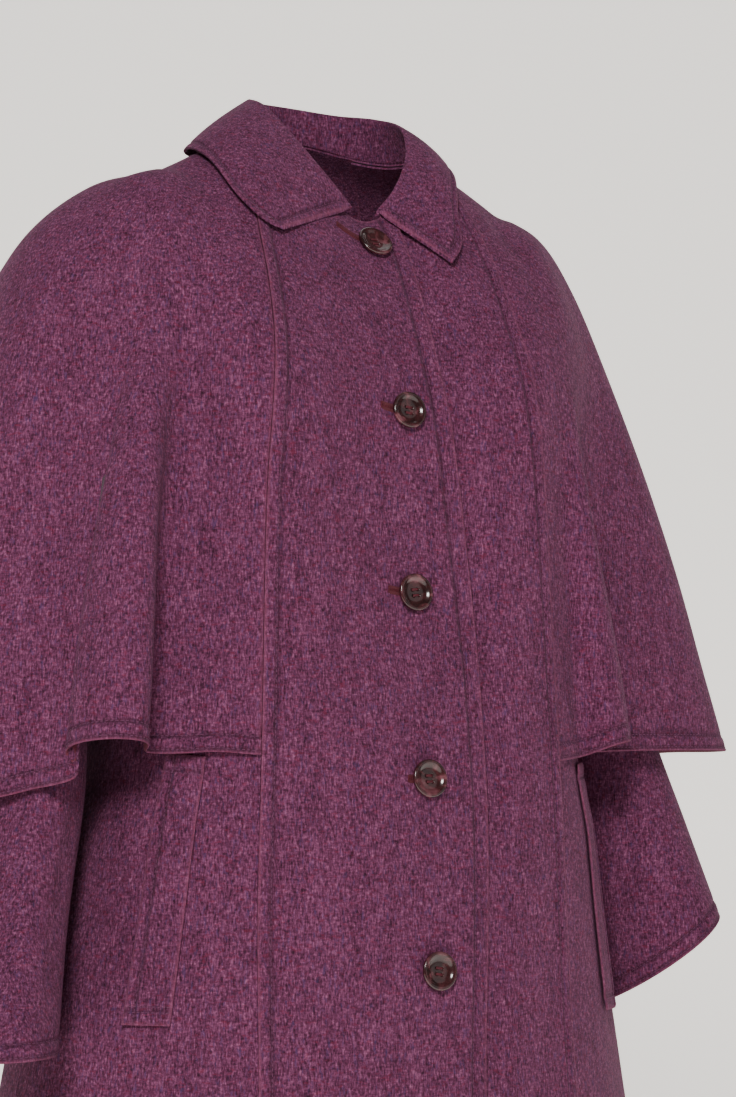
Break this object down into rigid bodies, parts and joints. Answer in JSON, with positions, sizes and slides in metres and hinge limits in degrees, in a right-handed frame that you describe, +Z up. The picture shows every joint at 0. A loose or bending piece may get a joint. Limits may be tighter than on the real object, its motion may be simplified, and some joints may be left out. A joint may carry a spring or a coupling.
{
  "type": "cape coat",
  "caption": "Flared wool cape coat, worn and buttoned, with capes set into its princess seams, wide bell sleeves, a turned-down collar and slanted welt pockets.",
  "frame": {"origin": "on the neck axis, at the height where the neckline meets the shoulder seams, where the wearer holds the coat up", "axes": "+Z up along the wearer's body, -Y the front of the coat, +X the wearer's left"},
  "size_m": [0.7105, 0.3758, 1.1085],
  "materials": {
    "wool": "napped",
    "button": "gloss"
  },
  "bodies": {
    "root": {"front_right": "wool", "front_left": "wool", "side_front_right": "wool", "side_front_left": "wool", "side_back_right": "wool", "side_back_left": "wool", "back": "wool", "cape_right": "wool", "cape_left": "wool", "sleeve_right": "wool", "sleeve_left": "wool", "collar": "wool", "pocket_welt_right": "wool", "pocket_welt_left": "wool", "button_1": "button", "button_2": "button", "button_3": "button", "button_4": "button", "button_5": "button", "button_6": "button"}
  },
  "joints": []
}
